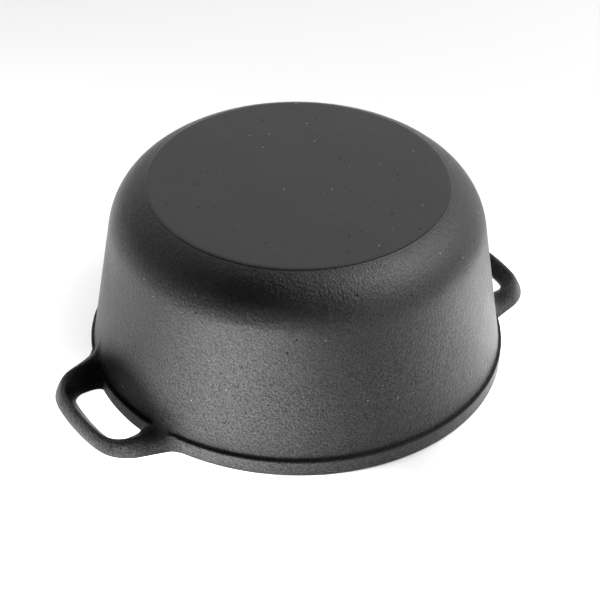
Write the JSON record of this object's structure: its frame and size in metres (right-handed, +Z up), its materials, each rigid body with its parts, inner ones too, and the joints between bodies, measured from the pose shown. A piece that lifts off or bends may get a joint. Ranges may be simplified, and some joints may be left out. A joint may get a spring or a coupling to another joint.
{
  "type": "cast iron dutch oven",
  "caption": "Round cast iron pot with tapered wall, rim band and two cast loop handles, upside down over its domed lid with a turned steel knob.",
  "frame": {"origin": "centre of the pot's mouth, in the plane of the rim that it stands on", "axes": "+Z up along the pot's axis, out through its base; +X along the line through both handles; +Y completes the right-handed frame"},
  "size_m": [0.322, 0.26, 0.123],
  "materials": {
    "seasoned_iron": "sand cast, oil seasoned black",
    "turned_steel": "turned and satin polished",
    "fastener_steel": "plain stainless"
  },
  "bodies": {
    "lid": {"lid": "seasoned_iron", "knob": "turned_steel", "knob_screw": "fastener_steel", "knob_washer": "fastener_steel"},
    "pot": {"pot": "seasoned_iron"}
  },
  "joints": [
    {"name": "pot_lift", "type": "slide", "parent": "lid", "child": "pot", "axis": [0, 0, 1], "range_m": [0, 0.14]}
  ]
}
